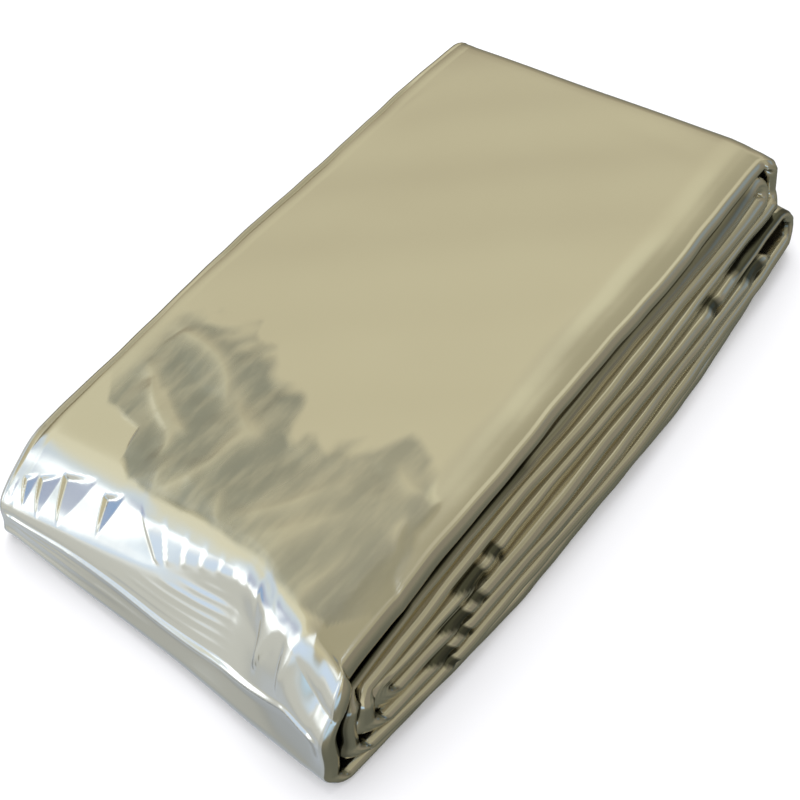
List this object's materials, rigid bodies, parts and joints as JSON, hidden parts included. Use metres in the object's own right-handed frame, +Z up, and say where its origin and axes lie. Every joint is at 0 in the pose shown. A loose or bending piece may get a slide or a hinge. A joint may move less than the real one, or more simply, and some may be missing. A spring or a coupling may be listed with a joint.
{
  "type": "folded emergency foil blanket",
  "caption": "Thin metallised rescue blanket folded flat into a small pack, with slanted turns at one end and uneven layers along its side.",
  "frame": {"origin": "centre of the folded pack's footprint, on the surface that it rests on", "axes": "+X along the pack from the slanted near end to the upright far end, +Y across the pack to its left side, +Z up"},
  "size_m": [0.1365, 0.0857, 0.0227],
  "materials": {
    "foil": "bright metallised film of a pale champagne silver, smooth on the top and finely creased at the folds"
  },
  "bodies": {
    "root": {"foil_blanket": "foil"}
  },
  "joints": []
}
